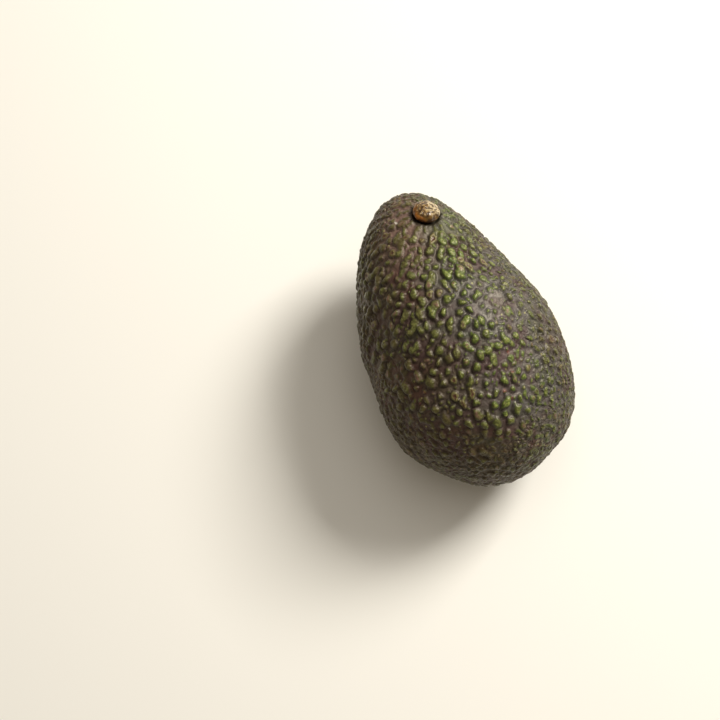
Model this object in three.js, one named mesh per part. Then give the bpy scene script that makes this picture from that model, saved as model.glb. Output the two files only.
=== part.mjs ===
// A rough-skinned avocado, as picked: the fruit, and the woody button of its stalk that sits in a
// socket at the narrow end. It lies on its side on a small flat spot.
// Millimetres. +Z is up, +Y runs from the blossom end to the stem end, and the origin is on the
// surface that the fruit lies on, under the middle of its bounding box.

import * as THREE from "three";
import { ConvexHull } from "three/addons/math/ConvexHull.js";

// Driving sizes of the fruit, in its own axes: x across, y along, z from belly to back
const LENGTH = 100.4;
const WIDTH = 65.2;
const DEPTH = 63.2;

// Fullness of the profile: its radius is an ellipse's times FULL - taper * c + rounding * c^3,
// where c runs from -1 at the blossom end to 1 at the stem end. The neck is slimmer across than
// from belly to back.
const FULL = 0.968;
const ACROSS = { taper: 0.26, rounding: 0.112 };
const UP = { taper: 0.15, rounding: 0.08 };

// The neck bends off the axis, past NECK_START, on a parabola: up, and a little to the side
const NECK_START = 2;
const NECK_BEND = 0.007;
const BEND_TO_SIDE = THREE.MathUtils.degToRad(30);

// How the fruit lies: its stem end is raised a little, and the belly is pressed flat
const RAISED = THREE.MathUtils.degToRad(5);
const PRESSED_FLAT = 1.2;

// Where the stalk comes out: turned off the pole of the narrow end, upwards and to the side
const STEM_UP = THREE.MathUtils.degToRad(29.5);
const STEM_TO_SIDE = THREE.MathUtils.degToRad(11);

// The stalk's socket, with a lip and a collar of radial folds: distance from the stalk, and lift
const SOCKET_FLOOR = { radius: 3.9, lift: -1.9 };
const SOCKET_LIP = { radius: 4.6, lift: 0.25 };
const FOLDS = 14;
const FOLD_RINGS = [
  { radius: 6.0, ridge: 0.4, groove: -0.1 },
  { radius: 7.8, ridge: 0.5, groove: -0.25 },
];
const COLLAR = 8.8;

// The scar at the blossom end: a dimple with a small raised tip
const SCAR_SIDES = 14;
const SCAR_TIP_LIFT = 0.1;
const SCAR_RINGS = [
  { radius: 1.3, lift: -0.45 },
  { radius: 2.8, lift: -0.4 },
  { radius: 3.8, lift: 0.2 },
];
const SCAR = 4.6;

// The pebbles that cover the skin, each a short raised ridge between sunken valleys. Scatter, the
// ridge's half length and the valleys' least distance are in steps between pebbles, or directions.
const PEBBLES = 1330;
const PEBBLE_SCATTER = 0.26;
const PEBBLE_LIFT = 0.5;
const PEBBLE_LIFT_SPREAD = 0.4;
const PEBBLE_RIDGE = 0.12;
const PEBBLE_RIDGE_SPREAD = 0.8;
const PEBBLE_TURN = THREE.MathUtils.degToRad(35);
const VALLEY_LIFT = -0.4;
const CLOSEST_VALLEYS = 0.02;

// The stalk's button, from its foot in the socket to its domed top: radius and height
const BUTTON_PROFILE = [
  [3.2, -1.4],
  [3.3, -0.3],
  [3.95, 0.05],
  [4.35, 0.45],
  [4.45, 1.1],
  [4.15, 1.85],
  [3.5, 2.55],
  [2.5, 3.1],
  [1.25, 3.4],
];
const BUTTON_TOP = 3.45;
const BUTTON_SIDES = 40;
const BUTTON_LOBES = 5;
const BUTTON_LOBE_DEPTH = 0.035;
const BUTTON_LOBE_TURN = 1;
const BUTTON_CRACKS = 9;
const BUTTON_CRACK_DEPTH = 0.04;
const BUTTON_CRACK_NARROWNESS = 6;
const BUTTON_BRIM = { bottom: 0.1, top: 0.9 };

const SKIN = { color: 0x46402f, roughness: 0.5, metalness: 0 };
const CORK = { color: 0x8c6236, roughness: 0.45, metalness: 0 };

const GOLDEN_ANGLE = Math.PI * (3 - Math.sqrt(5));
const STEP = 1e-4;
const NEAR_POLE = 0.9;

// The steps and the scale of the repeatable draws
const DRAW_STEPS = [12.9898, 78.233];
const DRAW_SCALE = 43758.5453;

const vector = (x, y, z) => new THREE.Vector3(x, y, z);

// A repeatable draw between 0 and 1 for piece number i and purpose number k
function draw(i, k) {
  const mixed = Math.sin(i * DRAW_STEPS[0] + k * DRAW_STEPS[1]) * DRAW_SCALE;
  return mixed - Math.floor(mixed);
}

// The smooth fruit's surface in the direction d, in its own axes. An oval section, scaled along the
// axis by the profile, is carried along the bent centre line and stays square to it.
function smoothPoint(d) {
  const c = d.y / d.length();
  const x = d.x / d.length();
  const z = d.z / d.length();
  const fullness = ({ taper, rounding }) => FULL - taper * c + rounding * c ** 3;
  const along = (LENGTH / 2) * c;
  const past = Math.max(along - NECK_START, 0);
  const slope = NECK_BEND * past;
  const offset = (NECK_BEND * past * past) / 2;
  const lean = Math.hypot(1, slope);
  const across = (WIDTH / 2) * fullness(ACROSS) * x;
  const up = (DEPTH / 2) * fullness(UP) * z;
  const sine = Math.sin(BEND_TO_SIDE);
  const cosine = Math.cos(BEND_TO_SIDE);
  const inBend = across * sine + up * cosine;
  const offBend = across * cosine - up * sine;
  const bent = offset + inBend / lean;
  return vector(
    bent * sine + offBend * cosine,
    along - (inBend * slope) / lean,
    bent * cosine - offBend * sine,
  );
}

// Two directions square to d and to each other, the first of them pointing towards "towards"
function tangents(d, towards) {
  const first = towards.clone().addScaledVector(d, -towards.dot(d)).normalize();
  return [first, d.clone().cross(first)];
}

// How the smooth surface moves, in millimetres, for a small turn of d along each tangent
function stretches(d, [first, second]) {
  return [first, second].map((t) =>
    smoothPoint(d.clone().addScaledVector(t, STEP))
      .sub(smoothPoint(d.clone().addScaledVector(t, -STEP)))
      .divideScalar(2 * STEP),
  );
}

function outwardNormal(d) {
  const helper = Math.abs(d.z) < NEAR_POLE ? vector(0, 0, 1) : vector(1, 0, 0);
  const [a, b] = stretches(d, tangents(d, helper));
  return a.cross(b).normalize();
}

// A round spot on the skin, such as the socket: it finds the direction at a distance and an angle
// from its middle, both measured on the surface, and the distance of any direction from its middle
function makeSpot(middle) {
  const [first, second] = tangents(middle, vector(0, 0, 1));
  const [a, b] = stretches(middle, [first, second]);
  const unit = a.clone().normalize();
  const side = outwardNormal(middle).cross(unit);
  const skew = b.dot(unit);
  const reach = b.dot(side);
  return {
    middle,
    at(radius, angle) {
      const v = (radius * Math.sin(angle)) / reach;
      const u = (radius * Math.cos(angle) - v * skew) / a.length();
      return middle.clone().addScaledVector(first, u).addScaledVector(second, v).normalize();
    },
    distance(d) {
      const facing = d.dot(middle);
      if (facing <= 0) return Infinity;
      const u = d.dot(first) / facing;
      const v = d.dot(second) / facing;
      return Math.hypot(u * a.length() + v * skew, v * reach);
    },
  };
}

const stemDirection = vector(
  Math.sin(STEM_TO_SIDE),
  Math.cos(STEM_TO_SIDE) * Math.cos(STEM_UP),
  Math.cos(STEM_TO_SIDE) * Math.sin(STEM_UP),
);
const stem = makeSpot(stemDirection);
const blossom = makeSpot(vector(0, -1, 0));

// The middles of the pebbles, spread evenly over all directions and then scattered
function pebbleMiddles() {
  const spacing = Math.sqrt((4 * Math.PI) / PEBBLES);
  const middles = [];
  for (let i = 0; i < PEBBLES; i += 1) {
    const y = 1 - (2 * (i + 0.5)) / PEBBLES;
    const ring = Math.sqrt(1 - y * y);
    const turn = i * GOLDEN_ANGLE;
    const even = vector(ring * Math.sin(turn), y, ring * Math.cos(turn));
    const helper = Math.abs(y) < NEAR_POLE ? vector(0, 1, 0) : vector(1, 0, 0);
    const [first, second] = tangents(even, helper);
    const middle = even
      .addScaledVector(first, (draw(i, 1) - 0.5) * 2 * PEBBLE_SCATTER * spacing)
      .addScaledVector(second, (draw(i, 2) - 0.5) * 2 * PEBBLE_SCATTER * spacing)
      .normalize();
    if (stem.distance(middle) > COLLAR && blossom.distance(middle) > SCAR) {
      middles.push({ middle, number: i, spacing });
    }
  }
  return middles;
}

// The two ends of a pebble's ridge, which points roughly at the stalk
function ridgeEnds({ middle, number, spacing }) {
  const [first, second] = tangents(middle, stem.middle);
  const turn = (draw(number, 3) - 0.5) * 2 * PEBBLE_TURN;
  const half = PEBBLE_RIDGE * spacing * (1 + PEBBLE_RIDGE_SPREAD * (draw(number, 4) - 0.5));
  return [half, -half].map((reach) =>
    middle
      .clone()
      .addScaledVector(first, reach * Math.cos(turn))
      .addScaledVector(second, reach * Math.sin(turn))
      .normalize(),
  );
}

// Where the valleys between three neighbouring pebbles meet. The convex hull of the middles joins
// neighbours, and each of its faces looks in the direction that is equally far from its corners.
function valleyMeets(middles) {
  const hull = new ConvexHull().setFromPoints(middles);
  const kept = [];
  for (const { normal } of hull.faces) {
    const crowded = kept.some((other) => other.distanceTo(normal) < CLOSEST_VALLEYS);
    if (!crowded && stem.distance(normal) > COLLAR && blossom.distance(normal) > SCAR) {
      kept.push(normal.clone());
    }
  }
  return kept;
}

// Every corner of the skin, as a direction and a lift off the smooth surface
function skinCorners() {
  const corners = [];
  const ring = (spot, sides, radius, lift) => {
    for (let i = 0; i < sides; i += 1) {
      corners.push({ d: spot.at(radius, (i * 2 * Math.PI) / sides), lift: lift(i) });
    }
  };
  corners.push({ d: stem.middle.clone(), lift: SOCKET_FLOOR.lift });
  for (const { radius, lift } of [SOCKET_FLOOR, SOCKET_LIP]) {
    ring(stem, 2 * FOLDS, radius, () => lift);
  }
  for (const { radius, ridge, groove } of FOLD_RINGS) {
    ring(stem, 2 * FOLDS, radius, (i) => (i % 2 ? ridge : groove));
  }
  corners.push({ d: blossom.middle.clone(), lift: SCAR_TIP_LIFT });
  for (const { radius, lift } of SCAR_RINGS) {
    ring(blossom, SCAR_SIDES, radius, () => lift);
  }
  const pebbles = pebbleMiddles();
  for (const pebble of pebbles) {
    const lift = PEBBLE_LIFT + PEBBLE_LIFT_SPREAD * (draw(pebble.number, 5) - 0.5);
    for (const d of ridgeEnds(pebble)) corners.push({ d, lift });
  }
  for (const d of valleyMeets(pebbles.map(({ middle }) => middle))) {
    corners.push({ d, lift: VALLEY_LIFT });
  }
  return corners;
}

// Turns the fruit about the X axis, so that its stem end is raised
const raise = (p) => p.applyAxisAngle(vector(1, 0, 0), RAISED);

// The lowest and highest corner of the smooth fruit as it lies, before it is pressed flat
function smoothBox() {
  const box = new THREE.Box3();
  const sides = 180;
  for (let i = 0; i <= sides; i += 1) {
    const polar = (i * Math.PI) / sides;
    for (let k = 0; k < 2 * sides; k += 1) {
      const turn = (k * Math.PI) / sides;
      const ring = Math.sin(polar);
      const d = vector(ring * Math.sin(turn), Math.cos(polar), ring * Math.cos(turn));
      box.expandByPoint(raise(smoothPoint(d)));
    }
  }
  return box;
}

const box = smoothBox();
const origin = vector(
  (box.min.x + box.max.x) / 2,
  (box.min.y + box.max.y) / 2,
  box.min.z + PRESSED_FLAT,
);

const placed = (p) => raise(p).sub(origin);

// The skin: its corners are joined by the convex hull of their directions, and then each is put at
// its place on the fruit. What would reach below the surface is pressed flat against it.
function skinGeometry() {
  const corners = skinCorners();
  const numbers = new Map(corners.map(({ d }, i) => [d, i]));
  const hull = new ConvexHull().setFromPoints(corners.map(({ d }) => d));
  const index = [];
  for (const face of hull.faces) {
    let edge = face.edge;
    do {
      index.push(numbers.get(edge.head().point));
      edge = edge.next;
    } while (edge !== face.edge);
  }
  const positions = corners.flatMap(({ d, lift }) => {
    const p = placed(smoothPoint(d).addScaledVector(outwardNormal(d), lift));
    return [p.x, p.y, Math.max(p.z, 0)];
  });
  const geometry = new THREE.BufferGeometry();
  geometry.setAttribute("position", new THREE.Float32BufferAttribute(positions, 3));
  geometry.setIndex(index);
  geometry.computeVertexNormals();
  return geometry;
}

// The button: a turned profile whose outline is slightly lobed, with cracks running to its middle
function buttonGeometry() {
  const profile = [
    [0, BUTTON_PROFILE[0][1]],
    ...BUTTON_PROFILE,
    [0, BUTTON_TOP],
  ].map(([radius, height]) => new THREE.Vector2(radius, height));
  const geometry = new THREE.LatheGeometry(profile, BUTTON_SIDES);
  const p = geometry.attributes.position;
  for (let i = 0; i < p.count; i += 1) {
    const radius = Math.hypot(p.getX(i), p.getZ(i));
    const angle = Math.atan2(p.getZ(i), p.getX(i));
    const above = THREE.MathUtils.smoothstep(p.getY(i), BUTTON_BRIM.bottom, BUTTON_BRIM.top);
    const lobe = BUTTON_LOBE_DEPTH * Math.sin(BUTTON_LOBES * angle + BUTTON_LOBE_TURN);
    const nearCrack = Math.abs(Math.cos((BUTTON_CRACKS * angle) / 2)) ** BUTTON_CRACK_NARROWNESS;
    const crack = BUTTON_CRACK_DEPTH * nearCrack;
    const scale = 1 + above * (lobe - crack);
    const sunk = above * radius * crack;
    p.setXYZ(i, p.getX(i) * scale, p.getY(i) - sunk, p.getZ(i) * scale);
  }
  geometry.computeVertexNormals();
  return geometry;
}

function finish({ color, roughness, metalness }) {
  return new THREE.MeshStandardMaterial({ color, roughness, metalness, flatShading: true });
}

const fruit = new THREE.Mesh(skinGeometry(), finish(SKIN));
fruit.name = "fruit";

const button = new THREE.Mesh(buttonGeometry(), finish(CORK));
button.name = "stem_button";
button.position.copy(placed(smoothPoint(stem.middle)));
button.quaternion.setFromUnitVectors(vector(0, 1, 0), raise(outwardNormal(stem.middle)));

const avocado = new THREE.Group();
avocado.add(fruit, button);

export default avocado;
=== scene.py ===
"""A rough-skinned avocado, as picked: its pebbled, waxy skin and the woody button of its stalk.

The fruit lies on its side, with +Y from the blossom end to the stem end. Its form is worked out in
millimetres and put into the scene in metres.
"""
import logging
import math
from dataclasses import dataclass, field
from enum import Enum, IntEnum

import bpy
import numpy as np
from mathutils import Matrix, Vector

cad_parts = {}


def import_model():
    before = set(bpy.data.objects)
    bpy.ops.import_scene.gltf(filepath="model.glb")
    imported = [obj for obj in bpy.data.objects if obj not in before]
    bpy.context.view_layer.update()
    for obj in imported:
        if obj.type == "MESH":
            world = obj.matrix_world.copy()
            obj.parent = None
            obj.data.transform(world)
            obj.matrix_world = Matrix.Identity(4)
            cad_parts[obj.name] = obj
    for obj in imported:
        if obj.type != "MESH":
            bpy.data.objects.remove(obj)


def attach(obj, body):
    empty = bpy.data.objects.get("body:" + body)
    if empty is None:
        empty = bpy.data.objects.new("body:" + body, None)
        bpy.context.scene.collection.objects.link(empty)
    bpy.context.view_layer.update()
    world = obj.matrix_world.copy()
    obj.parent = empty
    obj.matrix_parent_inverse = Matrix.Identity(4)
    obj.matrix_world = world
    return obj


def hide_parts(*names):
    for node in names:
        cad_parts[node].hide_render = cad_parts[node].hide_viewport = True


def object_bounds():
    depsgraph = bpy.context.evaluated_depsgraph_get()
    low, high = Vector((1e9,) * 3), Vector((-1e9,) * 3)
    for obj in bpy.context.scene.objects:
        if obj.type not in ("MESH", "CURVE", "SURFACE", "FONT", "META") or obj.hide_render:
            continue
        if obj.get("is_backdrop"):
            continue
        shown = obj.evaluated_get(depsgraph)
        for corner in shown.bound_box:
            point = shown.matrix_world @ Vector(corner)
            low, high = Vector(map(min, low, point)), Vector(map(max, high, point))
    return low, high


LOG = logging.getLogger("avocado")
BODY = "root"
METRES = 0.001

# A draw's angle steps by these with its number and purpose, and its sine is scaled up by the third.
NUMBER_STEP = 12.9898
PURPOSE_STEP = 78.233
SINE_SCALE = 43758.5453

# A Mix node's input numbers for its lower and upper colour, and its output number for the mixture.
MIX_COLOURS = (6, 7)
MIX_RESULT = 2

Array = np.ndarray
Range = tuple[float, float]
Way = tuple[float, float, float]


class Mask(Enum):
    """The skin's own attributes, which its material reads. Each runs from 0 to 1."""

    CROWN = "crown"
    BODY = "body"
    FRESH = "fresh"
    CORK = "cork"
    RIM = "rim"
    WORN = "worn"
    ROUGH = "rough"
    # Painted shade in the hollows round each pebble's foot, and painted shadow of the stalk's button round
    # its socket.
    FOOT = "foot"
    GREEN_SIDE = "green_side"
    # The brown side near the stalk, where the skin is painted paler as light.
    NECK = "neck"
    MOSSY = "mossy"
    SCAR = "scar"
    SCAB = "scab"
    RED = "red"
    FLECK = "fleck"


class StalkMask(Enum):
    """The button's own attributes, which its material reads. Each runs from 0 to 1."""

    CRACK = "crack"
    # Painted shade: the button below its brim, down in the socket.
    UNDER = "under"
    RESIN = "resin"
    HEART = "heart"
    # Pale wood on one side of the cap, carrying a painted highlight.
    BARE = "bare"


class Draw(IntEnum):
    """What a repeatable draw is for. A scatter uses the next number too."""

    PLACE = 1
    PLACE_ASIDE = 2
    TURN = 3
    STRETCH = 4
    HEIGHT = 5
    FRESHNESS = 6
    WIDTH = 7
    CORK = 8
    WEAR = 9
    GRAIN_PLACE = 11


def hex_to_linear(code: str) -> tuple[float, float, float, float]:
    """Turns an sRGB hex colour into a linear one.

    Args:
        code: The colour as "#rrggbb".

    Returns:
        Linear red, green, blue and an alpha of 1.
    """
    parts = [int(code[i:i + 2], 16) / 255 for i in (1, 3, 5)]
    linear = [p / 12.92 if p <= 0.04045 else ((p + 0.055) / 1.055) ** 2.4 for p in parts]
    return (*linear, 1.0)


def per_mm(size: float) -> float:
    """Gives the texture scale on Object coordinates whose pattern repeats every size millimetres."""
    return 1 / (size * METRES)


def add_node(tree: bpy.types.NodeTree, kind: str, settings: dict,
             links: dict | None = None) -> bpy.types.Node:
    """Adds one node to a material.

    Args:
        tree: The node tree that it joins.
        kind: The node's type.
        settings: Properties and unlinked inputs by name or input number, in the order to set them.
            "stops" gives a colour ramp's positions and hex colours.
        links: The output socket that feeds each input, by the input's name or number.

    Returns:
        The node.
    """
    node = tree.nodes.new(kind)
    for name, value in settings.items():
        if name == "stops":
            ramp = node.color_ramp.elements
            while len(ramp) < len(value):
                ramp.new(0.5)
            for element, (position, code) in zip(ramp, value):
                element.position = position
                element.color = hex_to_linear(code)
        elif isinstance(name, int) or name in node.inputs:
            node.inputs[name].default_value = value
        else:
            setattr(node, name, value)
    for name, socket in (links or {}).items():
        tree.links.new(socket, node.inputs[name])
    return node


def draw(numbers: Array, purpose: int) -> Array:
    """Makes repeatable draws: the fraction left of a large multiple of a sine.

    Args:
        numbers: Which piece each draw is for.
        purpose: What it is for, so that two draws for one piece differ.

    Returns:
        A number between 0 and 1 for each piece.
    """
    mixed = np.sin(numbers * NUMBER_STEP + purpose * PURPOSE_STEP) * SINE_SCALE
    return mixed - np.floor(mixed)


def ripple(points: Array, size: float, seed: int, waves: int = 20) -> Array:
    """Makes a smooth random field: a sum of sine waves in random directions.

    Args:
        points: Places in millimetres.
        size: The mean length of the waves, in millimetres.
        seed: Which field.
        waves: How many waves it sums.

    Returns:
        The field at each point, with a mean of 0 and a spread of 1.
    """
    random = np.random.default_rng(seed)
    ways = random.normal(size=(waves, 3))
    ways /= np.linalg.norm(ways, axis=1)[:, None]
    lengths = size * random.uniform(0.65, 1.5, waves)
    phases = points @ (ways * (2 * np.pi / lengths)[:, None]).T
    return np.sin(phases + random.uniform(0, 2 * np.pi, waves)).sum(axis=1) / math.sqrt(waves / 2)


def smoothstep(low: float | Array, high: float | Array, x: Array) -> Array:
    """Rises smoothly from 0 at low to 1 at high: 3 t^2 - 2 t^3."""
    t = np.clip((x - low) / (high - low), 0, 1)
    return t * t * (3 - 2 * t)


def unit(vectors: Array) -> Array:
    """Scales each vector to a length of 1."""
    return vectors / np.linalg.norm(vectors, axis=-1, keepdims=True)


def level(vectors: Array, normals: Array) -> Array:
    """Takes out of each vector what runs along its normal, and scales the rest to a length of 1."""
    return unit(vectors - (vectors * normals).sum(axis=1, keepdims=True) * normals)


def sideways(ways: Array, axis: int, near: float = 0.9) -> tuple[Array, Array]:
    """Finds two directions square to each way and to each other.

    Args:
        ways: Directions of length 1.
        axis: The axis that the first leans to.
        near: The share of a way along that axis from which the first leans to X instead.

    Returns:
        The first and the second directions.
    """
    axes = np.eye(3)
    first = level(np.where(np.abs(ways[:, axis:axis + 1]) < near, axes[axis], axes[0]), ways)
    return first, np.cross(ways, first)


def make_object(name: str, points: Array, faces: list[Array]) -> bpy.types.Object:
    """Puts a worked-out surface into a smooth-shaded mesh.

    Args:
        name: The piece's name.
        points: Its corners, in millimetres.
        faces: Arrays of corner numbers, one array for each number of sides.

    Returns:
        The new object, at the origin.
    """
    mesh = bpy.data.meshes.new(name)
    mesh.from_pydata((points * METRES).tolist(), [], [f for part in faces for f in part.tolist()])
    mesh.update()
    mesh.shade_smooth()
    made = bpy.data.objects.new(name, mesh)
    bpy.context.scene.collection.objects.link(made)
    return made


def add_mask(mesh: bpy.types.Mesh, mask: Enum, values: Array) -> None:
    """Stores one number for each corner of a mesh, for its material to read."""
    attribute = mesh.attributes.new(mask.value, "FLOAT", "POINT")
    attribute.data.foreach_set("value", np.clip(values, 0, 1).astype(np.float32))


@dataclass(frozen=True)
class FruitForm:
    """The smooth fruit: an oval section, scaled along the axis by a profile and bent at the neck.

    Its own axes are x across, y along and z from belly to back, in millimetres. The profile's radius
    is an ellipse's times full - taper c + rounding c^3, where c runs from -1 at the blossom end to 1
    at the stem end.
    """

    length: float = 100.4
    width: float = 65.2
    depth: float = 63.2
    full: float = 0.968
    taper_across: float = 0.26
    rounding_across: float = 0.112
    taper_up: float = 0.15
    rounding_up: float = 0.08
    neck_start: float = 2.0
    neck_bend: float = 0.007
    bend_to_side: float = math.radians(30)
    raised: float = math.radians(5)
    pressed_flat: float = 1.2
    step: float = 1e-4

    def surface(self, ways: Array) -> Array:
        """Finds the smooth surface in each direction.

        The section is carried along a centre line that is straight and then a parabola, and stays
        square to it.

        Args:
            ways: Directions from the fruit's middle, of any length.

        Returns:
            The places, in the fruit's own axes.
        """
        x, c, z = unit(ways).T
        along = self.length / 2 * c
        past = np.maximum(along - self.neck_start, 0)
        slope = self.neck_bend * past
        offset = self.neck_bend * past ** 2 / 2
        across = self.width / 2 * (self.full - self.taper_across * c + self.rounding_across * c ** 3) * x
        up = self.depth / 2 * (self.full - self.taper_up * c + self.rounding_up * c ** 3) * z
        sine, cosine = math.sin(self.bend_to_side), math.cos(self.bend_to_side)
        in_bend = across * sine + up * cosine
        off_bend = across * cosine - up * sine
        lean = np.hypot(1, slope)
        bent = offset + in_bend / lean
        return np.stack([
            bent * sine + off_bend * cosine,
            along - in_bend * slope / lean,
            bent * cosine - off_bend * sine,
        ], axis=1)

    def stretches(self, ways: Array, tangents: Array) -> Array:
        """Tells how the surface moves, in millimetres, for a small turn of each direction."""
        ahead = self.surface(ways + self.step * tangents)
        behind = self.surface(ways - self.step * tangents)
        return (ahead - behind) / (2 * self.step)

    def normals(self, ways: Array) -> Array:
        """Finds the smooth surface's outward direction: the cross product of two stretches."""
        first, second = sideways(ways, axis=2)
        return unit(np.cross(self.stretches(ways, first), self.stretches(ways, second)))

    def raise_stem(self, vectors: Array) -> Array:
        """Turns vectors about the X axis, as the fruit's stem end is raised."""
        sine, cosine = math.sin(self.raised), math.cos(self.raised)
        turn = np.array([[1, 0, 0], [0, cosine, -sine], [0, sine, cosine]])
        return vectors @ turn.T

    def origin(self) -> Array:
        """Finds the point on the surface under the middle of the smooth fruit's box."""
        polar, turn = np.meshgrid(np.linspace(0, np.pi, 181), np.linspace(0, 2 * np.pi, 360, endpoint=False))
        ring = np.sin(polar)
        ways = np.stack([ring * np.sin(turn), np.cos(polar), ring * np.cos(turn)], axis=-1).reshape(-1, 3)
        places = self.raise_stem(self.surface(ways))
        low, high = places.min(axis=0), places.max(axis=0)
        return np.array([(low[0] + high[0]) / 2, (low[1] + high[1]) / 2, low[2] + self.pressed_flat])

    def place(self, points: Array) -> Array:
        """Moves places from the fruit's own axes to where it lies."""
        return self.raise_stem(points) - self.origin()


class Spot:
    """A round spot on the fruit, such as the stalk's socket, with distances along the surface."""

    def __init__(self, form: FruitForm, middle: Way) -> None:
        """Measures how the surface stretches round the spot's middle.

        Args:
            form: The smooth fruit.
            middle: The direction of the spot's middle.
        """
        self.middle = unit(np.array(middle))
        up = np.array([0.0, 0.0, 1.0])
        self.first = unit(up - self.middle * (up @ self.middle))
        self.second = np.cross(self.middle, self.first)
        a = form.stretches(self.middle[None], self.first[None])[0]
        b = form.stretches(self.middle[None], self.second[None])[0]
        self.normal = form.normals(self.middle[None])[0]
        self.along = np.linalg.norm(a)
        self.tangent = a / self.along
        self.skew = b @ a / self.along
        self.reach = b @ np.cross(self.normal, self.tangent)

    def at(self, radius: Array, angle: Array) -> Array:
        """Finds the directions at distances and angles from the spot's middle."""
        v = radius * np.sin(angle) / self.reach
        u = (radius * np.cos(angle) - v * self.skew) / self.along
        return unit(self.middle + u[:, None] * self.first + v[:, None] * self.second)

    def distance(self, ways: Array) -> Array:
        """Measures how far each direction is from the spot's middle.

        Args:
            ways: Directions from the fruit's middle.

        Returns:
            The distances in millimetres, endless on the fruit's other half.
        """
        facing = ways @ self.middle
        safe = np.where(facing > 0, facing, 1)
        u = ways @ self.first / safe
        v = ways @ self.second / safe
        return np.where(facing > 0, np.hypot(u * self.along + v * self.skew, v * self.reach), np.inf)


@dataclass
class Pebbles:
    """Every pebble of the skin, as arrays: where it is, how it lies, its sizes and its look."""

    middles: Array
    long_ways: Array
    cross_ways: Array
    half_lengths: Array
    half_widths: Array
    heights: Array
    fresh: Array
    corky: Array
    worn: Array

    @classmethod
    def joined(cls, groups: list["Pebbles"]) -> "Pebbles":
        """Puts groups of pebbles into one."""
        names = cls.__dataclass_fields__
        return cls(**{n: np.concatenate([getattr(g, n) for g in groups]) for n in names})


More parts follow.
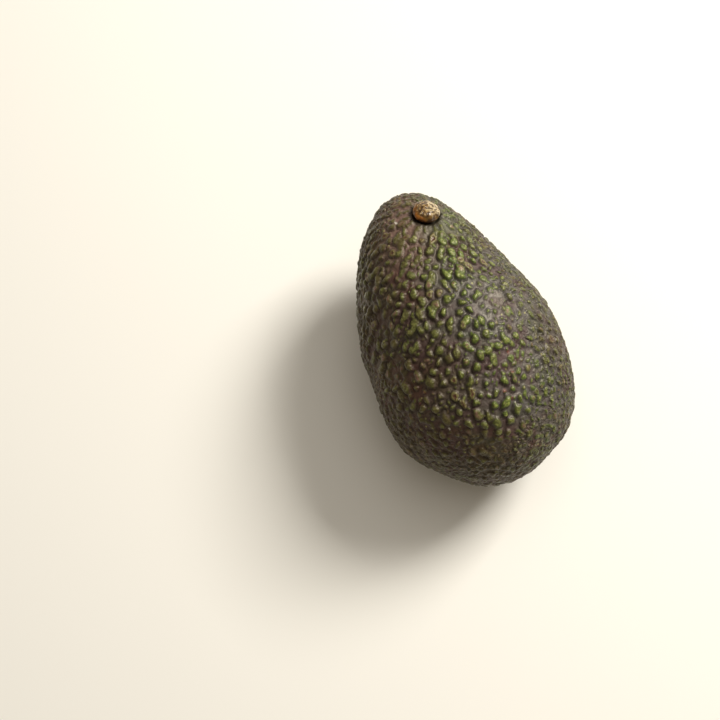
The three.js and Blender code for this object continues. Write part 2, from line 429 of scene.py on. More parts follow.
@dataclass
class FruitSkin:
    """The whole fruit's skin, with its pebbles, the folds round the stalk, the socket and the scar.

    Lengths are in millimetres, and a range is where a smooth rise starts and ends.
    """

    form: FruitForm = field(default_factory=FruitForm)
    squares_along: int = 166
    squares_across: int = 110

    stem_up: float = math.radians(29.5)
    stem_to_side: float = math.radians(11)
    socket: tuple = ((0, -1.9), (3.9, -1.9), (4.6, 0.25), (5.6, 0.02), (7.6, -0.2), (9.5, -0.36))
    scar: tuple = ((0, 0.1), (1.3, -0.45), (2.8, -0.4), (3.8, 0.2), (4.8, -0.15), (6.0, -0.36))
    floor_lift: float = -0.36
    collar: float = 8.8
    scar_reach: float = 4.6
    pebbled_from_stalk: Range = (4.4, 5.4)
    pebbled_from_scar: Range = (3.4, 5.0)
    lumpy_from_stalk: Range = (3, 9)
    shaded_socket: Range = (4.8, 6.3)
    scar_edge: Range = (1.6, 3.6)

    bold_way: Way = (-0.1, 0.18, 0.98)
    bold_facing: Range = (0.2, 0.92)
    green_way: Way = (0.72, 0.08, 0.69)
    green_facing: Range = (0.05, 0.85)
    brown_neck: Range = (8, 32)
    mossy_neck: Range = (5, 22)
    mossy_edge: Range = (-0.05, 0.32)

    scab_at: Way = (0.504, 0.098, 0.858)
    scab_reach: float = 2.6
    red_spots: tuple = ((-0.53, -0.25, 0.81), (-0.6, -0.3, 0.74), (0.14, -0.46, 0.88), (0.17, -0.52, 0.84),
                        (0.28, -0.37, 0.89), (0.33, -0.25, 0.91))
    red_reach: float = 0.6
    flecks: tuple = ((-0.18, 0.86, 0.48), (-0.44, -0.52, 0.73))
    fleck_reach: float = 0.25

    count: int = 1330
    scatter: float = 0.26
    turn: float = math.radians(35)
    corky_share: float = 0.1
    worn_share: float = 0.16
    quiet_size: float = 12
    grains: int = 5200
    grain_scatter: float = 0.45
    grain_clearance: float = 1.9
    folds: int = 14
    first_fold: int = 5000
    fold_middle: float = 7.0
    fold_turn: float = 0.1

    nearest: int = 8
    batch: int = 4096
    warps: tuple = ((0.2, 3.0, 20), (0.06, 1.5, 30))
    flank: float = 0.72
    joint: int = 4
    corky_from: float = 0.75
    pit_depth: float = 0.35
    rim_at: float = 0.62
    rim_width: float = 0.17
    # Width of the band of painted shade round each pebble's foot.
    foot_shade_width: float = 0.16
    pressing: float = 0.02
    raised_masks: tuple = (Mask.CROWN, Mask.BODY, Mask.CORK, Mask.RIM, Mask.WORN)

    def __post_init__(self) -> None:
        """Places the stalk and the scar on the form."""
        side, up = self.stem_to_side, self.stem_up
        way = (math.sin(side), math.cos(side) * math.cos(up), math.cos(side) * math.sin(up))
        self.stem = Spot(self.form, way)
        self.blossom = Spot(self.form, (0.0, -1.0, 0.0))

    def boldness(self, ways: Array) -> Array:
        """Tells how bold the pebbles are: boldest on the back near the neck, finer elsewhere."""
        facing = ways @ unit(np.array(self.bold_way))
        wander = ripple(self.form.surface(ways), 22, seed=3)
        return np.clip(0.54 + 0.5 * smoothstep(*self.bold_facing, facing) + 0.08 * wander, 0.4, 1.05)

    def green_side(self, ways: Array) -> Array:
        """Tells how green the skin is: from 0, purple-brown on the far side, to 1."""
        facing = ways @ unit(np.array(self.green_way))
        wander = ripple(self.form.surface(ways), 26, seed=5)
        return np.clip(0.08 + 0.86 * smoothstep(*self.green_facing, facing) + 0.12 * wander, 0, 1)

    def neck(self, ways: Array) -> tuple[Array, Array]:
        """Tells how near the stalk the skin is.

        Args:
            ways: Directions from the fruit's middle.

        Returns:
            The nearness on the brown side and on the green side, each 1 at the stalk.
        """
        distance = self.stem.distance(ways)
        green = smoothstep(*self.mossy_edge, ways[:, 0] + 0.25 * ways[:, 2] - 0.12)
        brown_near = 1 - smoothstep(*self.brown_neck, distance)
        mossy_near = 1 - smoothstep(*self.mossy_neck, distance)
        return brown_near * (1 - 0.95 * green), mossy_near * green

    def spread(self, count: int, scatter: float, purpose: Draw) -> tuple[Array, Array]:
        """Spreads directions evenly on a spiral round the fruit and scatters each by two draws.

        Those in the stalk's collar or on the scar are left out.

        Args:
            count: How many directions the spiral has.
            scatter: How far each may move, in steps between neighbours.
            purpose: The first draw's purpose.

        Returns:
            Their numbers and the directions.
        """
        numbers = np.arange(count)
        spacing = math.sqrt(4 * math.pi / count)
        y = 1 - 2 * (numbers + 0.5) / count
        ring = np.sqrt(1 - y * y)
        turn = numbers * np.pi * (3 - math.sqrt(5))
        even = np.stack([ring * np.sin(turn), y, ring * np.cos(turn)], axis=1)
        first, second = sideways(even, axis=1)
        reach = 2 * scatter * spacing
        moved = even + first * ((draw(numbers, purpose) - 0.5) * reach)[:, None]
        moved += second * ((draw(numbers, purpose + 1) - 0.5) * reach)[:, None]
        ways = unit(moved)
        clear = (self.stem.distance(ways) > self.collar) & (self.blossom.distance(ways) > self.scar_reach)
        return numbers[clear], ways[clear]

    def dress(self, ways: Array, numbers: Array, half_widths: Array, stretch: Array,
              heights: Array, turn: float, corky_share: float) -> Pebbles:
        """Works out pebbles from their ways: each points at the stalk, give or take a turn.

        Args:
            ways: The pebbles' directions.
            numbers: Their numbers for draws.
            half_widths: Half their widths, in millimetres.
            stretch: Their length over their width.
            heights: How far they stand out, in millimetres.
            turn: The most that one is turned from the stalk.
            corky_share: The share with a corky middle.

        Returns:
            The pebbles.
        """
        middles = self.form.surface(ways)
        normals = self.form.normals(ways)
        first = level(self.form.surface(self.stem.middle[None]) - middles, normals)
        second = np.cross(normals, first)
        angle = ((draw(numbers, Draw.TURN) - 0.5) * 2 * turn)[:, None]
        fresh = 0.95 * self.green_side(ways) - 0.35 * self.neck(ways)[0]
        fresh = fresh + 0.6 * draw(numbers, Draw.FRESHNESS) - 0.3
        fresh -= 0.45 * smoothstep(0.4, 0.75, ways[:, 0])
        return Pebbles(
            middles=middles,
            long_ways=first * np.cos(angle) + second * np.sin(angle),
            cross_ways=second * np.cos(angle) - first * np.sin(angle),
            half_lengths=half_widths * stretch,
            half_widths=half_widths,
            heights=heights,
            fresh=np.clip(fresh, 0, 1),
            corky=np.where(draw(numbers, Draw.CORK) < corky_share, 1.0, 0.0),
            worn=np.where(draw(numbers, Draw.WEAR) < self.worn_share, 1.0, 0.0),
        )

    def pebbles(self) -> Pebbles:
        """Makes the main pebbles, the small grains between them and the folds round the stalk.

        Widths, heights and stretches grow from a least value with a draw, and pebbles are wider and
        higher where they are bold, and lower on the neck and in quiet patches.

        Returns:
            All of them together.
        """
        numbers, ways = self.spread(self.count, self.scatter, Draw.PLACE)
        bold = self.boldness(ways)
        quiet = smoothstep(0.5, 1.6, ripple(self.form.surface(ways), self.quiet_size, seed=113))
        widths = (0.76 + 0.62 * draw(numbers, Draw.WIDTH) ** 1.2) * (0.66 + 0.44 * bold) * (1 - 0.2 * quiet)
        heights = (0.8 + 0.5 * draw(numbers, Draw.HEIGHT)) * bold
        heights = heights * (1 - 0.4 * self.neck(ways)[0]) * (1 - 0.6 * quiet)
        stretch = 1.1 + 0.8 * draw(numbers, Draw.STRETCH) ** 1.5
        main = self.dress(ways, numbers, widths, stretch, heights, self.turn, self.corky_share)

        numbers, ways = self.spread(self.grains, self.grain_scatter, Draw.GRAIN_PLACE)
        places = self.form.surface(ways)
        apart = np.sqrt(((places[:, None] - main.middles[None]) ** 2).sum(axis=2).min(axis=1))
        clear = apart > self.grain_clearance * (0.62 + 0.38 * self.boldness(ways))
        numbers, ways = numbers[clear], ways[clear]
        bold = self.boldness(ways)
        widths = (0.36 + 0.4 * draw(numbers, Draw.WIDTH)) * (1.5 - 0.5 * bold)
        heights = (0.3 + 0.35 * draw(numbers, Draw.HEIGHT)) * (0.6 + 0.4 * bold)
        stretch = 1.0 + 0.6 * draw(numbers, Draw.STRETCH)
        small = self.dress(ways, numbers, widths, stretch, heights, 2 * self.turn, 0.0)

        numbers = np.arange(self.folds) + self.first_fold
        angles = (2 * np.arange(self.folds) + 1) * np.pi / self.folds
        radii = self.fold_middle + 1.2 * (draw(numbers, Draw.PLACE_ASIDE) - 0.5)
        ways = self.stem.at(radii, angles + 0.16 * (draw(numbers, Draw.PLACE) - 0.5))
        widths = 0.55 + 0.3 * draw(numbers, Draw.WIDTH)
        heights = 0.4 + 0.35 * draw(numbers, Draw.HEIGHT)
        stretch = 2.2 + 1.2 * draw(numbers, Draw.STRETCH)
        folds = self.dress(ways, numbers, widths, stretch, heights, self.fold_turn, 0.0)
        return Pebbles.joined([main, small, folds])

    def grid(self) -> tuple[Array, Array]:
        """Lays out a closed net of squares round the fruit: a box of squares, blown up to a ball.

        Returns:
            The corners' directions, and the four corners of each square.
        """
        cells = np.array([self.squares_across, self.squares_along, self.squares_across])
        quads = []
        for axis in range(3):
            u, v = (axis + 1) % 3, (axis + 2) % 3
            i, j = np.meshgrid(np.arange(cells[u]), np.arange(cells[v]), indexing="ij")
            for end in (0, cells[axis]):
                ring = np.zeros((i.size, 4, 3), dtype=np.int64)
                ring[:, :, axis] = end
                for k, (du, dv) in enumerate(((0, 0), (1, 0), (1, 1), (0, 1))):
                    ring[:, k, u] = i.ravel() + du
                    ring[:, k, v] = j.ravel() + dv
                quads.append(ring if end else ring[:, ::-1])
        corners = np.concatenate(quads).reshape(-1, 3)
        base = cells.max() + 1
        key = (corners[:, 0] * base + corners[:, 1]) * base + corners[:, 2]
        _, first, back = np.unique(key, return_index=True, return_inverse=True)
        lattice = corners[first] / cells * 2 - 1
        return unit(np.tan(lattice * np.pi / 4)), back.reshape(-1, 4)

    def pebble_relief(self, points: Array) -> dict[str, Array]:
        """Works out what the pebbles nearest to each place do there.

        The places are warped by ripples first. With s the distance from a pebble's middle in its own
        half sizes, its outline is 1 inside and falls smoothly to 0 over the flank, and its height is
        the outline times a low dome. Pebbles that touch run together: the joint powers of their
        heights are summed, and that root is taken. A corky pebble has a pit with a rim, and a band of
        painted shade runs round the foot of each pebble, in the hollow between pebbles.

        Args:
            points: Places on the smooth surface, in the fruit's own axes.

        Returns:
            Height in millimetres and the masks that the pebbles give, each for every place.
        """
        stones = self.pebbles()
        warped = points.copy()
        for reach, size, seed in self.warps:
            warped += reach * np.stack([ripple(points, size, seed + k) for k in range(3)], axis=1)
        names = ("height", "crown", "body", "foot", "fresh", "cork", "rim", "worn")
        out = {n: np.zeros(len(points)) for n in names}
        squares = (stones.middles ** 2).sum(axis=1)
        for start in range(0, len(points), self.batch):
            rows = slice(start, start + self.batch)
            p = warped[rows]
            apart = squares[None] - 2 * p @ stones.middles.T
            near = np.argpartition(apart, self.nearest, axis=1)[:, :self.nearest]
            offset = p[:, None] - stones.middles[near]
            along = (offset * stones.long_ways[near]).sum(axis=2)
            across = (offset * stones.cross_ways[near]).sum(axis=2)
            half = stones.half_widths[near]
            s = np.hypot(along / stones.half_lengths[near], across / half)
            soft = self.flank / (2 * half)
            outline = 1 - smoothstep(np.maximum(1 - soft, 0.05), 1 + soft, s)
            dome = 1.1 - 0.38 * np.clip(s, 0, 1) ** 2
            heights = stones.heights[near]
            own = np.arange(len(s)), s.argmin(axis=1)
            corky = stones.corky[near] * (half > self.corky_from)
            inner = corky * (1 - smoothstep(0.3, 0.55, s))
            raised = (heights * outline * dome) ** self.joint
            crown = np.minimum((outline ** self.joint).sum(axis=1) ** (1 / self.joint), 1)
            # Painted shade: a dark band just outside each pebble's outline, in the hollow at its foot.
            band = np.exp(-((s - 1.0 - soft * 0.6) / self.foot_shade_width) ** 2) * np.minimum(heights * 1.4, 1)
            rim = 0.7 * corky * np.exp(-((s - self.rim_at) / self.rim_width) ** 2)
            out["height"][rows] = raised.sum(axis=1) ** (1 / self.joint)
            out["height"][rows] -= (inner * heights)[own] * self.pit_depth
            out["crown"][rows] = crown
            out["foot"][rows] = band.max(axis=1) * (1 - crown)
            out["fresh"][rows] = stones.fresh[near][own]
            out["cork"][rows] = inner[own]
            out["rim"][rows] = rim[own]
            out["worn"][rows] = (stones.worn[near] * (1 - smoothstep(0.2, 0.7, s)))[own]
            out["body"][rows] = (np.clip(1 - s ** 2, 0, 1) * np.minimum(heights * 1.8, 1))[own]
        return out

    def spots(self, smooth: Array, middles: tuple, reach: float) -> Array:
        """Marks small ragged spots of one size on the skin.

        Args:
            smooth: Places on the smooth surface.
            middles: The spots' directions.
            reach: Their half width, in millimetres.

        Returns:
            1 within a spot, and 0 away from it, for each place.
        """
        ragged = 0.25 * ripple(smooth, 1.2, seed=51)
        apart = [np.linalg.norm(smooth - self.form.surface(np.array([m]))[0], axis=1) for m in middles]
        return 1 - smoothstep(0.6, 1.2, np.min(apart, axis=0) / reach + ragged)

    def build(self) -> bpy.types.Object:
        """Makes the skin: the smooth form, lifted along its normals by all the relief together.

        It is pressed flat where it lies: each height h becomes half of h + the root of h^2 + pressing.

        Returns:
            The skin's object.
        """
        ways, quads = self.grid()
        smooth = self.form.surface(ways)
        relief = self.pebble_relief(smooth)
        stalk_distance = self.stem.distance(ways)
        scar_distance = self.blossom.distance(ways)
        base = np.interp(stalk_distance, *zip(*self.socket))
        base += np.interp(scar_distance, *zip(*self.scar)) - self.floor_lift
        pebbled = smoothstep(*self.pebbled_from_stalk, stalk_distance)
        pebbled = pebbled * smoothstep(*self.pebbled_from_scar, scar_distance)
        bold = self.boldness(ways)
        wrinkles = 1 - np.abs(ripple(smooth, 2.6, seed=41, waves=28))
        lumps = 0.3 * ripple(smooth, 30, seed=42) + 0.05 * ripple(smooth, 9, seed=43)
        fine = (0.36 - 0.33 * np.minimum(bold, 1)) * (1 - 0.6 * relief["crown"]) * np.clip(wrinkles, -0.5, 1)
        scab = self.spots(smooth, (self.scab_at,), self.scab_reach)
        scab_edge = 4 * scab * (1 - scab)
        pebbled = pebbled * (1 - 0.85 * scab)
        lift = base + pebbled * (relief["height"] + fine)
        lift += lumps * smoothstep(*self.lumpy_from_stalk, stalk_distance)
        lift += 0.2 * scab_edge + 0.12 * scab * np.sin(5 * wrinkles) - 0.16 * bold * pebbled
        placed = self.form.place(smooth + self.form.normals(ways) * lift[:, None])
        height = placed[:, 2]
        placed[:, 2] = (height + np.sqrt(height ** 2 + self.pressing)) / 2
        ragged_scar = scar_distance + 0.4 * ripple(smooth, 2.2, seed=52)
        brown_neck, mossy_neck = self.neck(ways)

        made = make_object("fruit_skin", placed, [quads])
        masks = {
            **{mask: relief[mask.value] * pebbled for mask in self.raised_masks},
            Mask.FRESH: relief["fresh"],
            Mask.ROUGH: (1 - 0.82 * smoothstep(0.58, 0.9, bold)) * pebbled,
            # Painted shade at the pebbles' feet, and a painted shadow of the button round the stalk's socket.
            Mask.FOOT: relief["foot"] * pebbled + 1 - smoothstep(*self.shaded_socket, stalk_distance),
            Mask.GREEN_SIDE: self.green_side(ways),
            Mask.NECK: brown_neck,
            Mask.MOSSY: mossy_neck,
            Mask.SCAB: np.maximum(0.55 * scab_edge, 0.25 * scab),
            Mask.RED: self.spots(smooth, self.red_spots, self.red_reach),
            Mask.FLECK: self.spots(smooth, self.flecks, self.fleck_reach),
            Mask.SCAR: 1 - smoothstep(*self.scar_edge, ragged_scar),
        }
        for mask, values in masks.items():
            add_mask(made.data, mask, values)
        made.data.materials.append(WaxySkin().material())
        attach(made, BODY)
        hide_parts("fruit")
        return made


@dataclass
class StalkButton:
    """The woody button of the stalk: a turned, lobed and cracked cap on a foot in its socket."""

    skin: FruitSkin
    profile: tuple = ((3.2, -1.4), (3.3, -0.3), (3.95, 0.05), (4.35, 0.45), (4.45, 1.1), (4.15, 1.85),
                      (3.5, 2.55), (2.5, 3.1), (1.25, 3.4))
    top: float = 3.45
    around: int = 200
    rings: int = 110
    lobes: int = 5
    lobe_depth: float = 0.02
    crack_width: float = 0.13
    crack_depth: float = 0.32
    resin_side: Way = (-0.92, 0.1, -0.05)
    resin_edge: Range = (-0.1, 0.5)
    # The side with the pale wood and its painted highlight, and how it fades in.
    bare_side: Way = (0.93, 0.3, 0.3)
    bare_edge: Range = (0.6, 0.95)

    def outline(self) -> Array:
        """Rounds the profile: a smooth curve through its points, evenly spaced by length.

        Returns:
            Radius and height of each ring, in millimetres.
        """
        knots = np.array([(0.0, self.profile[0][1]), *self.profile, (0.0, self.top)])
        run = np.concatenate([[0], np.cumsum(np.hypot(*np.diff(knots, axis=0).T))])
        even = np.linspace(0, run[-1], self.rings)
        bent = np.stack([np.interp(even, run, knots[:, k]) for k in range(2)], axis=1)
        for _ in range(6):
            bent[1:-1] = (bent[:-2] + 2 * bent[1:-1] + bent[2:]) / 4
        return bent[1:-1]

    def build(self) -> bpy.types.Object:
        """Makes the button: the outline turned about its axis, with lobes, cracks and knobs.

        Returns:
            The button's object, seated in the skin's socket.
        """
        outline = self.outline()
        angle = np.linspace(0, 2 * np.pi, self.around, endpoint=False)
        radius = np.repeat(outline[:, :1], self.around, axis=1)
        height = np.repeat(outline[:, 1:], self.around, axis=1)
        turn = np.repeat(angle[None], len(outline), axis=0)
        places = np.stack([radius * np.cos(turn), radius * np.sin(turn), height], axis=2).reshape(-1, 3)
        above = smoothstep(0.1, 0.9, places[:, 2])
        lobe = self.lobe_depth * np.sin(self.lobes * turn.ravel() + 1 + 0.6 * np.sin(2 * turn.ravel()))
        bark = ripple(places, 2.4, seed=61, waves=26)
        widest = max(point[0] for point in self.profile)
        inner = 1 - smoothstep(0.6, 0.98, np.hypot(places[:, 0], places[:, 1]) / widest)
        cracks = np.exp(-(bark / self.crack_width) ** 2) * above * (0.2 + 0.8 * inner)
        knobs = 0.07 * ripple(places, 2.8, seed=62) + 0.025 * ripple(places, 1.0, seed=63)
        outward = unit(places - np.array([0.0, 0.0, 0.2]))
        bumps = above * (knobs - self.crack_depth * cracks)
        shaped = places * np.array([1, 1, 0]) * (1 + above * lobe)[:, None] + places * np.array([0, 0, 1])
        shaped = shaped + outward * bumps[:, None]

        stem = self.skin.stem
        form = self.skin.form
        axes = np.stack([stem.tangent, np.cross(stem.normal, stem.tangent), stem.normal])
        seat = form.surface(stem.middle[None])
        ends = np.array([[0.0, 0.0, self.profile[0][1]], [0.0, 0.0, shaped[-self.around:, 2].mean()]])
        points = form.place(np.concatenate([shaped, ends]) @ axes + seat)

        ring = np.arange(self.around)
        ahead = (ring + 1) % self.around
        rows = (np.arange(len(outline) - 1) * self.around)[:, None]
        above_ring = rows + self.around
        quads = np.stack([rows + ring, rows + ahead, above_ring + ahead, above_ring + ring], axis=2)
        last = (len(outline) - 1) * self.around
        foot, crown = len(points) - 2, len(points) - 1
        fans = np.concatenate([
            np.stack([ahead, ring, np.full(self.around, foot)], axis=1),
            np.stack([last + ring, last + ahead, np.full(self.around, crown)], axis=1),
        ])
        made = make_object("stalk_button", points, [quads.reshape(-1, 4), fans])
        out = unit(points - points[-2])
        patchy = 0.12 * np.append(ripple(places, 2.2, seed=64), [0, 0])
        masks = {
            StalkMask.RESIN: smoothstep(*self.resin_edge, out @ unit(np.array(self.resin_side)) + patchy),
            # Pale wood with a painted highlight on one side.
            StalkMask.BARE: smoothstep(*self.bare_edge, out @ unit(np.array(self.bare_side)) + patchy),
            StalkMask.HEART: np.append(inner, [0, 1]),
            StalkMask.CRACK: np.append(cracks, [0, 0]),
            # Painted shade under the brim and at the button's foot.
            StalkMask.UNDER: np.append(1 - above, [1, 0]),
        }
        for mask, values in masks.items():
            add_mask(made.data, mask, values)
        made.data.materials.append(DriedStalk().material())
        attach(made, BODY)
        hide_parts("stem_button")
        return made


@dataclass(frozen=True)
class Share:
    """A mask or pattern whose values from start to end are stretched to run from least to most."""

    source: Enum | str
    start: float
    end: float
    least: float = 0.0
    most: float = 1.0
    curve: str = "SMOOTHSTEP"


class Mixture:
    """A material in the making: its nodes, and the sockets of its masks, patterns and colours."""

    def __init__(self, name: str, masks: type[Enum], clouds: tuple) -> None:
        """Starts the material with its masks and its cloudy patterns on Object coordinates.

        Args:
            name: What the real stuff is.
            masks: The attributes of the piece that wears it.
            clouds: Name, size in millimetres, octaves and roughness of each cloudy pattern.
        """
        self.made = bpy.data.materials.new(name)
        self.made.use_nodes = True
        self.tree = self.made.node_tree
        self.at = add_node(self.tree, "ShaderNodeTexCoord", {}).outputs["Object"]
        self.sockets = {}
        for mask in masks:
            read = add_node(self.tree, "ShaderNodeAttribute", {"attribute_name": mask.value})
            self.sockets[mask] = read.outputs["Fac"]
        for pattern, size, detail, rough in clouds:
            settings = {"Scale": per_mm(size), "Detail": detail, "Roughness": rough}
            cloud = add_node(self.tree, "ShaderNodeTexNoise", settings, {"Vector": self.at})
            self.sockets[pattern] = cloud.outputs["Fac"]

    def product(self, shares: tuple) -> bpy.types.NodeSocket:
        """Multiplies masks and patterns, each as it is or stretched.

        Args:
            shares: The masks, patterns and Shares.

        Returns:
            Their product.
        """
        result = None
        for share in shares:
            factor = self.sockets.get(share)
            if isinstance(share, Share):
                settings = {"interpolation_type": share.curve, 1: share.start, 2: share.end}
                settings |= {3: share.least, 4: share.most}
                links = {0: self.sockets[share.source]}
                factor = add_node(self.tree, "ShaderNodeMapRange", settings, links).outputs[0]
            if result is not None:
                links = {0: result, 1: factor}
                factor = add_node(self.tree, "ShaderNodeMath", {"operation": "MULTIPLY"}, links).outputs[0]
            result = factor
        return result

    def lay(self, paints: tuple) -> None:
        """Lays colours over each other.

        Args:
            paints: For each colour to make, its name, its base and its layers, lowest first. A layer is a
                colour and the masks, patterns and Shares whose product shows it. A colour is a hex
                code or the name of one made before.
        """
        for made, base, layers in paints:
            self.sockets[made] = base
            for over, *shares in layers:
                settings, links = {"data_type": "RGBA"}, {0: self.product(shares)}
                for slot, colour in zip(MIX_COLOURS, (self.sockets[made], over)):
                    colour = self.sockets.get(colour, colour)
                    if isinstance(colour, str):
                        settings[slot] = hex_to_linear(colour)
                    else:
                        links[slot] = colour
                mixed = add_node(self.tree, "ShaderNodeMix", settings, links)
                self.sockets[made] = mixed.outputs[MIX_RESULT]

    def finish(self, feeds: dict, bumps: tuple, strength: float, even: dict) -> bpy.types.Material:
        """Feeds the shader.

        Args:
            feeds: The socket that feeds each of its inputs, by name.
            bumps: The shares and the depth in millimetres of each bump, coarsest first.
            strength: How strongly the bumps show.
            even: Its inputs that are the same all over, by name.

        Returns:
            The finished material.
        """
        shader = self.tree.nodes["Principled BSDF"]
        normal = {}
        for shares, depth in bumps:
            settings = {"Strength": strength, "Distance": depth * METRES}
            bump = add_node(self.tree, "ShaderNodeBump", settings, {"Height": self.product(shares), **normal})
            normal = {"Normal": bump.outputs["Normal"]}
        for name, socket in {**feeds, **normal}.items():
            self.tree.links.new(socket, shader.inputs[name])
        for name, value in even.items():
            shader.inputs[name].default_value = value
        return self.made


@dataclass(frozen=True)
class WaxySkin:
    """Avocado skin: a tough rind under a thin natural wax, which gives it a broad satin sheen.

    Between the pebbles are grains, drawn as cells whose edges are warped by noise.
    """

    olive: str = "#473724"
    grey: str = "#544f4b"
    moss: str = "#474a3a"
    purple: str = "#4b3435"
    neck_moss: str = "#5a5d43"
    # Brown near the stalk, painted paler: partly its own tone, partly painted light.
    neck_brown_and_light: str = "#745b51"
    red: str = "#55312b"
    dull_crown: str = "#473e22"
    fresh_crown: str = "#465220"
    # Darker flank of each pebble: partly its own colour, partly painted shade.
    dark_flank_and_shade: str = "#2b2c15"
    dull_tip: str = "#625c35"
    # Paler top of a fresh pebble: partly its own colour, partly a painted highlight.
    pale_tip_and_highlight: str = "#7d843f"
    worn_tip: str = "#6f5246"
    pit: str = "#4a3426"
    grain_tip: str = "#7f6e4c"
    grey_grain_tip: str = "#716e53"
    # Near-black for painted shade: the hollows round the pebbles, the gaps between the grains and the
    # button's shadow round its socket.
    foot: str = "#1a1308"
    cork: str = "#4c2e25"
    tan: str = "#7d6c48"
    lenticel: str = "#8f8a55"
    scar: str = "#796544"
    scab: str = "#71665a"
    red_spot: str = "#703a30"
    fleck: str = "#cfcabb"
    clouds: tuple = (
        ("mottle", 9.0, 4, 0.55), ("blotch", 14.0, 5, 0.6), ("speck", 0.9, 3, 0.55),
        ("granule", 0.8, 2, 0.55), ("moss", 12.0, 3, 0.55), ("grit", 0.5, 4, 0.6),
    )
    lenticel_spacing: float = 3.4
    cell_size: float = 1.7
    cell_warp: float = 1.1
    grains: tuple = (Share("gaps", 0.08, 0.3), Mask.ROUGH)
    paints: tuple = (
        ("grain", grain_tip, ((grey_grain_tip, Mask.GREEN_SIDE),)),
        ("floor", olive, (
            (grey, Mask.GREEN_SIDE),
            (moss, Share("moss", 0.5, 0.66, 0, 0.7)),
            (purple, Share("mottle", 0.42, 0.66, 0, 0.8)),
            # Painted light on the neck near the stalk, over its own brown.
            (neck_brown_and_light, Mask.NECK, Share("mottle", 0.3, 0.6, 0.6, 1.0)),
            (neck_moss, Mask.MOSSY, Share("mottle", 0.3, 0.6, 0.4, 0.9)),
            (red, Share("blotch", 0.53, 0.68, 0, 0.6)),
            ("grain", "grains", Share("lot", 0.4, 0.9, 0, 0.7)),
        )),
        # The pebbles' paler tops: partly their own colour, partly painted highlight.
        ("tip", dull_tip, ((pale_tip_and_highlight, Mask.FRESH),)),
        ("pebble", dull_crown, (
            (fresh_crown, Mask.FRESH),
            # Painted shade on each pebble's flank, over its own darker colour.
            (dark_flank_and_shade, Share(Mask.BODY, 0.05, 0.42, 0.75, 0)),
            # Painted highlight over each pebble's middle, broken up by specks.
            ("tip", Share(Mask.BODY, 0.3, 1.0), Share("granule", 0.42, 0.6, 0.1, 1.0)),
            (pit, Share("speck", 0.56, 0.68, 0, 0.7), Mask.BODY),
        )),
        ("scarred", cork, ((scar, Share("speck", 0.35, 0.65)),)),
        ("skin", "floor", (
            ("pebble", Share(Mask.CROWN, 0.35, 0.85), Share(Mask.BODY, 0.0, 0.45, 0.35, 1.0)),
            (lenticel, Share("dots", 0.13, 0.07, 0, 0.75)),
            (worn_tip, Mask.WORN, Share("speck", 0.3, 0.55)),
            (tan, Mask.RIM),
            (cork, Mask.CORK),
            ("scarred", Mask.SCAR),
            (scab, Mask.SCAB),
            (red_spot, Mask.RED, Share("speck", 0.3, 0.55)),
            # Painted shade: dark lines in the sunken gaps between the grains, in the rough zones.
            (foot, Share("gaps", 0.12, 0.0, 0, 0.5), Mask.ROUGH),
            # Painted shade round the pebbles' feet and painted shadow of the button round its socket.
            (foot, Share(Mask.FOOT, 0, 1, 0, 0.85, "LINEAR")),
            (fleck, Mask.FLECK),
        )),
    )
    bumps: tuple = ((("grains",), 0.4), (("granule", Mask.CROWN), 0.2), (("grit",), 0.05))
    bump_strength: float = 1.0
    roughness: Share = Share("patchy", 0.1, 0.45, 0.4, 0.56)
    pebble_roughness: float = -0.16
    ior: float = 1.45
    specular: float = 0.5
    specular_tint: str = "#fff4de"

    def add_cells(self, mixture: Mixture) -> None:
        """Adds the sockets of the grains between the pebbles and of the lenticels' dots.

        Args:
            mixture: The material.
        """
        tree, at = mixture.tree, mixture.at
        wander = add_node(tree, "ShaderNodeTexNoise", {"Scale": per_mm(2 * self.cell_size)}, {"Vector": at})
        there = wander.outputs["Color"]
        for settings, links in (
            ({"operation": "SUBTRACT", 1: (0.5, 0.5, 0.5)}, {}),
            ({"operation": "SCALE", "Scale": self.cell_warp * METRES}, {}),
            ({"operation": "ADD"}, {1: at}),
        ):
            there = add_node(tree, "ShaderNodeVectorMath", settings, {0: there, **links}).outputs[0]
        for pattern, feature, size, place, output in (
            ("gaps", "DISTANCE_TO_EDGE", self.cell_size, there, "Distance"),
            ("drawn", "F1", self.cell_size, there, "Color"),
            ("dots", "F1", self.lenticel_spacing, at, "Distance"),
        ):
            settings = {"feature": feature, "Scale": per_mm(size)}
            cells = add_node(tree, "ShaderNodeTexVoronoi", settings, {"Vector": place})
            mixture.sockets[pattern] = cells.outputs[output]
        lot = add_node(tree, "ShaderNodeSeparateColor", {}, {"Color": mixture.sockets["drawn"]})
        mixture.sockets["lot"] = lot.outputs[0]
        mixture.sockets["grains"] = mixture.product(self.grains)

    def material(self) -> bpy.types.Material:
        """Makes the material from the skin's own masks and from patterns on Object coordinates.

        Returns:
            The material.
        """
        mixture = Mixture("waxy_avocado_rind", Mask, self.clouds)
        self.add_cells(mixture)
        mixture.sockets["patchy"] = mixture.product(("speck", "mottle"))
        mixture.lay(self.paints)
        smoother = {"operation": "MULTIPLY_ADD", 1: self.pebble_roughness}
        links = {0: mixture.sockets[Mask.BODY], 2: mixture.product((self.roughness,))}
        rough = add_node(mixture.tree, "ShaderNodeMath", smoother, links).outputs[0]
        even = {
            "IOR": self.ior,
            "Specular IOR Level": self.specular,
            "Specular Tint": hex_to_linear(self.specular_tint),
        }
        feeds = {"Base Color": mixture.sockets["skin"], "Roughness": rough}
        return mixture.finish(feeds, self.bumps, self.bump_strength, even)


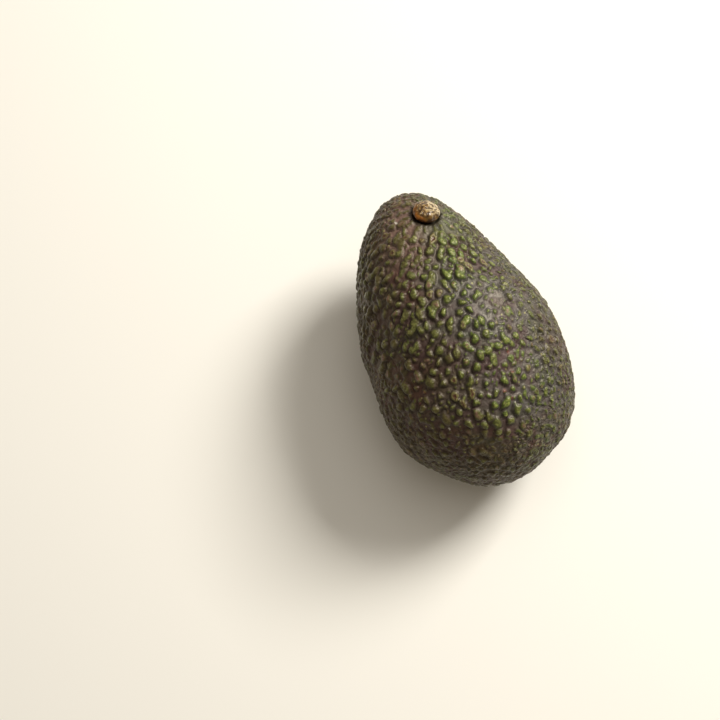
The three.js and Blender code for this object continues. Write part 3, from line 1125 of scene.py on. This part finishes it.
@dataclass(frozen=True)
class DriedStalk:
    """Dried stalk wood: amber where resin soaked it, pale with a painted highlight on one side, cracked,
    glossy.
    """

    amber: str = "#8a5512"
    tan: str = "#7d6531"
    brown: str = "#2a1508"
    heart: str = "#473111"
    # Pale cream of the flecks in the middle and of one side, where it also stands as a painted highlight.
    bare: str = "#bcb7a4"
    # Dark of the real cracks, also used as painted shade under the brim.
    crack: str = "#24150c"
    clouds: tuple = (("bark", 3.0, 4, 0.5), ("flecks", 0.85, 4, 0.5), ("pores", 0.35, 4, 0.5))
    ramps: tuple = (
        ("dry", "bark", ((0.4, brown), (0.46, heart), (0.58, tan))),
        ("soaked", "bark", ((0.4, brown), (0.55, amber))),
        ("middle", "flecks", ((0.42, brown), (0.5, heart), (0.57, tan), (0.68, bare))),
    )
    paints: tuple = (
        ("wood", "dry", (
            ("soaked", StalkMask.RESIN),
            ("middle", StalkMask.HEART),
            # Painted highlight on one side, over pale wood.
            (bare, StalkMask.BARE, Share("flecks", 0.4, 0.56, 0.1, 1.0, "LINEAR")),
            (crack, StalkMask.CRACK),
            # Painted shade under the brim, in the cracks' colour.
            (crack, StalkMask.UNDER),
        )),
    )
    bumps: tuple = ((("pores",), 0.09),)
    bump_strength: float = 0.8
    roughness: Share = Share("flecks", 0.3, 0.7, 0.28, 0.55, "LINEAR")
    coat: float = 0.7
    coat_roughness: float = 0.15
    coat_tint: str = "#fbe6c2"
    specular_tint: str = "#ffe9c8"

    def material(self) -> bpy.types.Material:
        """Makes the material from the button's own masks and from patterns on Object coordinates.

        Returns:
            The material.
        """
        mixture = Mixture("dried_stalk_wood", StalkMask, self.clouds)
        for colour, pattern, stops in self.ramps:
            links = {"Fac": mixture.sockets[pattern]}
            ramp = add_node(mixture.tree, "ShaderNodeValToRGB", {"stops": stops}, links)
            mixture.sockets[colour] = ramp.outputs["Color"]
        mixture.lay(self.paints)
        even = {
            "Coat Weight": self.coat,
            "Coat Roughness": self.coat_roughness,
            "Coat Tint": hex_to_linear(self.coat_tint),
            "Specular Tint": hex_to_linear(self.specular_tint),
        }
        feeds = {"Base Color": mixture.sockets["wood"], "Roughness": mixture.product((self.roughness,))}
        return mixture.finish(feeds, self.bumps, self.bump_strength, even)


@dataclass(frozen=True)
class Studio:
    """A pale floor, soft daylight from the upper right and a camera that looks down on the fruit."""

    azimuth: float = math.radians(-26)
    elevation: float = math.radians(80)
    distance: float = 0.45
    lens: float = 68.0
    frame: int = 720
    fruit_at: Range = (454.2, 337.9)
    sensor: float = 36.0
    floor_size: float = 6.0
    floor_colour: str = "#f0ece3"
    floor_roughness: float = 0.8
    lights: tuple = (
        ("window", (0.6, 0.68, 0.62), 1.0, 0.36, 13.5, "#fffdf8"),
        ("ceiling", (0.1, 0.5, 1.0), 1.4, 1.0, 4.0, "#fffefb"),
    )
    sky_colour: str = "#fff3df"
    sky_strength: float = 0.25

    def axes(self) -> tuple[Vector, Vector, Vector]:
        """Gives the camera's right, up and back when it looks straight at the fruit."""
        a, e = self.azimuth, self.elevation
        back = Vector((math.sin(a) * math.cos(e), -math.cos(a) * math.cos(e), math.sin(e)))
        right = Vector((math.cos(a), math.sin(a), 0))
        return right, back.cross(right), back

    def add_camera(self, centre: Vector) -> None:
        """Puts the camera on the photograph's side, turned so that the fruit is where it shows there.

        Args:
            centre: The fruit's middle.
        """
        right, up, back = self.axes()
        focal = self.lens / self.sensor * self.frame
        aside = (self.fruit_at[0] - self.frame / 2) / focal
        above = (self.frame / 2 - self.fruit_at[1]) / focal
        place = centre + back * self.distance
        back = (back + right * aside + up * above).normalized()
        right = up.cross(back).normalized()
        camera = bpy.data.cameras.new("camera")
        camera.lens = self.lens
        camera.sensor_width = self.sensor
        made = bpy.data.objects.new("camera", camera)
        turn = Matrix((right, back.cross(right), back)).transposed().to_4x4()
        made.matrix_world = Matrix.Translation(place) @ turn
        bpy.context.scene.collection.objects.link(made)
        bpy.context.scene.camera = made

    def add_light(self, name: str, way: Way, reach: float, size: float,
                  power: float, colour: str) -> None:
        """Adds a square soft light that faces the fruit.

        Args:
            name: The light's name.
            way: Its share of the camera's right, up and back directions.
            reach: How far off it is, in metres.
            size: Its side, in metres.
            power: Its power, in watts.
            colour: Its colour, as hex.
        """
        right, up, back = self.axes()
        toward = (right * way[0] + up * way[1] + back * way[2]).normalized()
        light = bpy.data.lights.new(name, "AREA")
        light.size = size
        light.energy = power
        light.color = hex_to_linear(colour)[:3]
        made = bpy.data.objects.new(name, light)
        made.location = toward * reach
        made.rotation_mode = "QUATERNION"
        made.rotation_quaternion = toward.to_track_quat("Z", "Y")
        bpy.context.scene.collection.objects.link(made)

    def add_floor(self) -> None:
        """Lays a matt pale floor under the fruit."""
        half = self.floor_size / 2 / METRES
        corners = np.array([(-half, -half, 0.0), (half, -half, 0.0), (half, half, 0.0), (-half, half, 0.0)])
        floor = make_object("floor", corners, [np.array([[0, 1, 2, 3]])])
        paper = bpy.data.materials.new("matt_white_paper")
        paper.use_nodes = True
        shader = paper.node_tree.nodes["Principled BSDF"]
        shader.inputs["Base Color"].default_value = hex_to_linear(self.floor_colour)
        shader.inputs["Roughness"].default_value = self.floor_roughness
        floor.data.materials.append(paper)
        floor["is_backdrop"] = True

    def build(self, centre: Vector) -> None:
        """Makes the floor, the lights, the sky and the camera.

        Args:
            centre: The fruit's middle.
        """
        self.add_floor()
        self.add_camera(centre)
        for light in self.lights:
            self.add_light(*light)
        world = bpy.data.worlds.new("pale_room")
        world.use_nodes = True
        sky = world.node_tree.nodes["Background"]
        sky.inputs["Color"].default_value = hex_to_linear(self.sky_colour)
        sky.inputs["Strength"].default_value = self.sky_strength
        bpy.context.scene.world = world
        bpy.context.scene.view_settings.view_transform = "Standard"


def main() -> None:
    """Builds the studio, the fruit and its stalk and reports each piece."""
    logging.basicConfig(level=logging.INFO)
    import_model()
    solid_low, solid_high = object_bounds()
    Studio().build((solid_low + solid_high) / 2)
    skin = FruitSkin()
    for piece in (skin.build(), StalkButton(skin).build()):
        LOG.info("%s: %d corners, %d faces", piece.name, len(piece.data.vertices), len(piece.data.polygons))
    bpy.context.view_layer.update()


if __name__ == "__main__":
    main()
